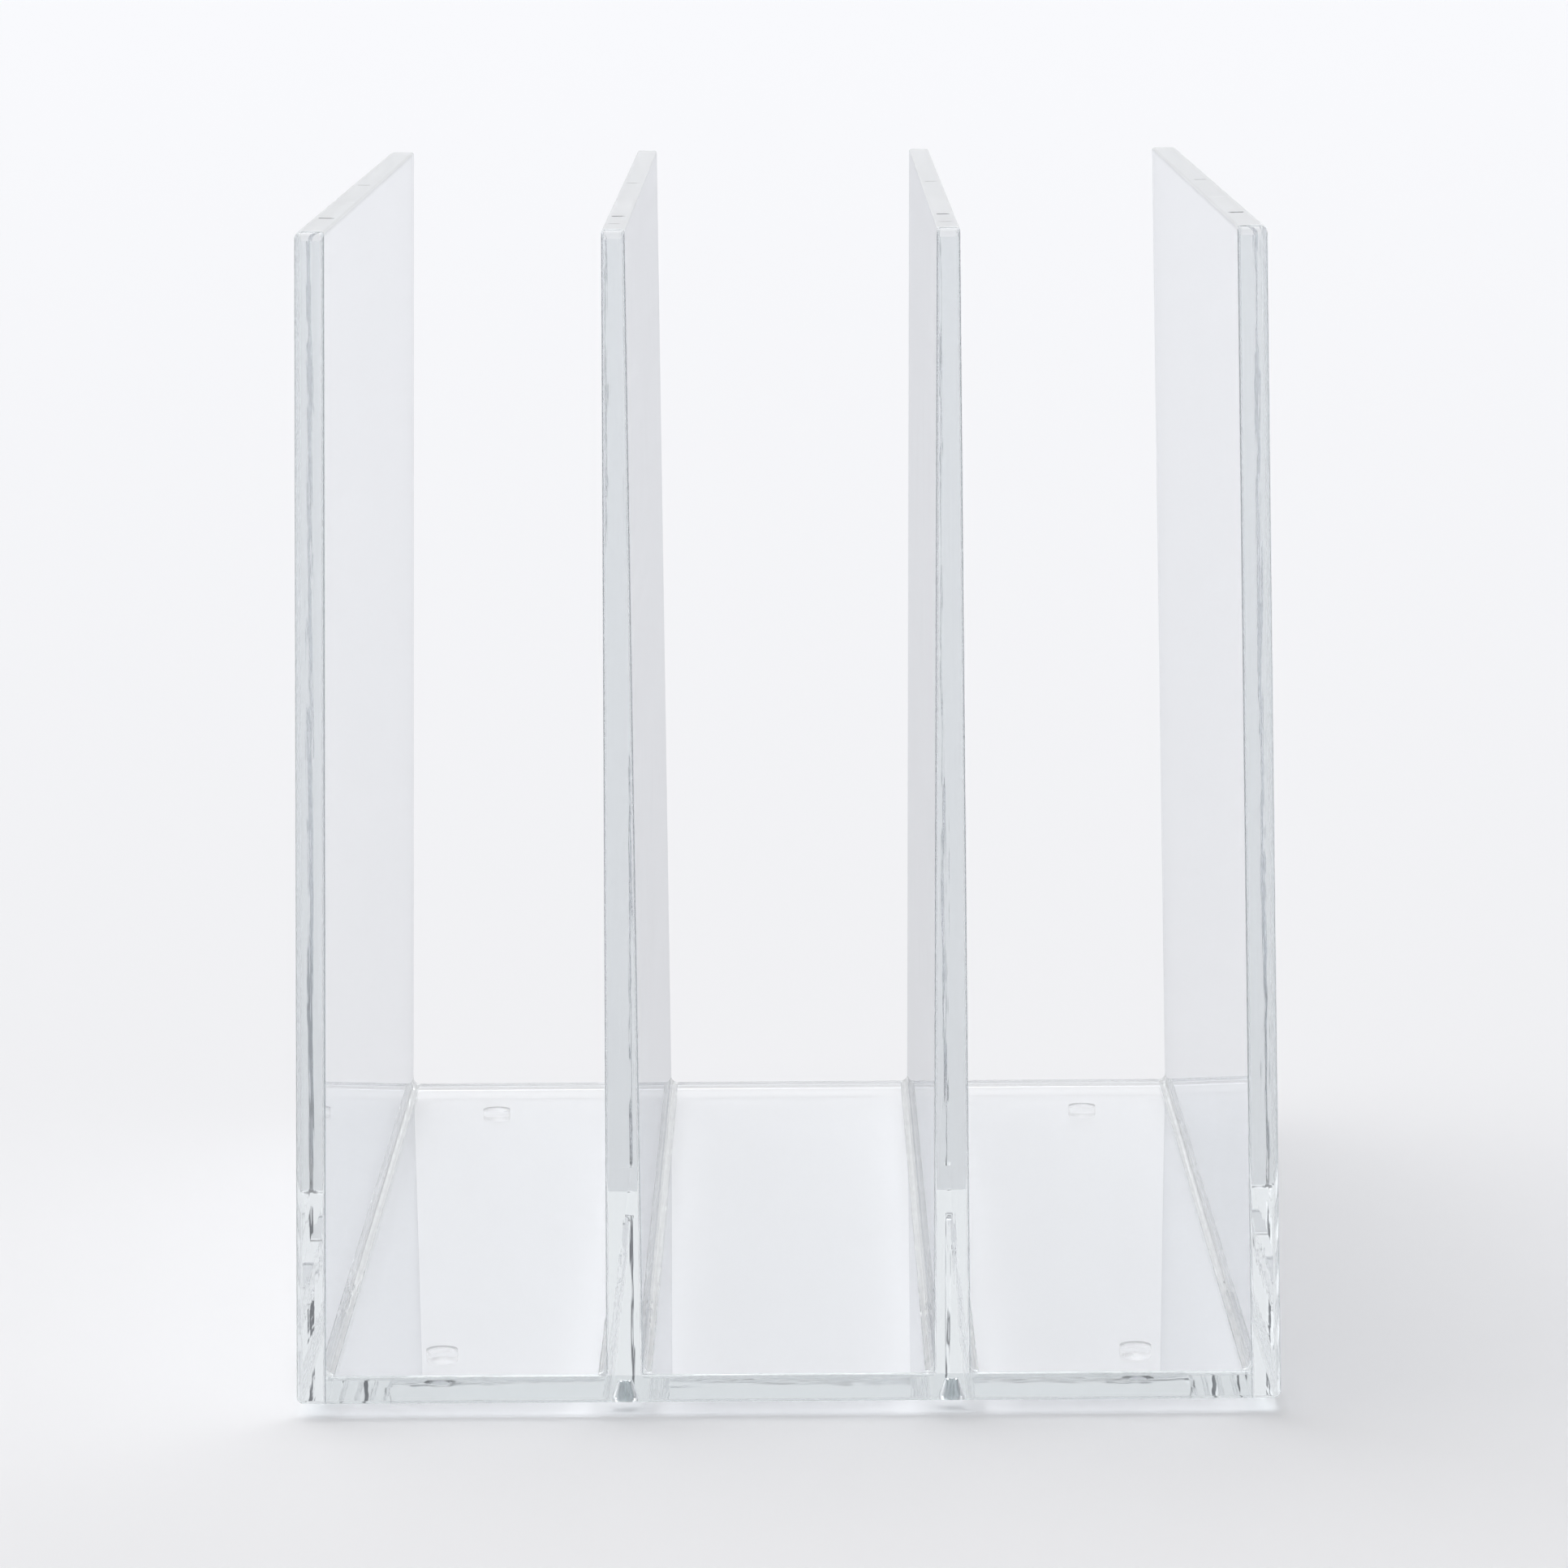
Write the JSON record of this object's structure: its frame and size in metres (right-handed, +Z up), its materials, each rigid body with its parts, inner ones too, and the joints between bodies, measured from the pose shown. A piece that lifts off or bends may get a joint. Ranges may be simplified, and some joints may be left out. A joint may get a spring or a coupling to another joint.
{
  "type": "magazine rack",
  "caption": "Upright clear acrylic rack with parallel panels on a base plate, open at the front, back and top, holding magazines and papers on edge.",
  "frame": {"origin": "on the floor under the middle of the footprint, at the undersides of the feet", "axes": "+X to the right seen from the front, +Y to the back along the panels, +Z up"},
  "size_m": [0.133, 0.21, 0.16],
  "materials": {
    "clear_acrylic": "polished",
    "clear_cement": "gloss",
    "clear_foot": "satin"
  },
  "bodies": {
    "root": {"base_plate": "clear_acrylic", "left_side_panel": "clear_acrylic", "right_side_panel": "clear_acrylic", "left_divider": "clear_acrylic", "right_divider": "clear_acrylic", "left_side_bead": "clear_cement", "right_side_bead": "clear_cement", "left_divider_outer_bead": "clear_cement", "left_divider_inner_bead": "clear_cement", "right_divider_inner_bead": "clear_cement", "right_divider_outer_bead": "clear_cement", "front_left_foot": "clear_foot", "front_right_foot": "clear_foot", "back_left_foot": "clear_foot", "back_right_foot": "clear_foot"}
  },
  "joints": []
}
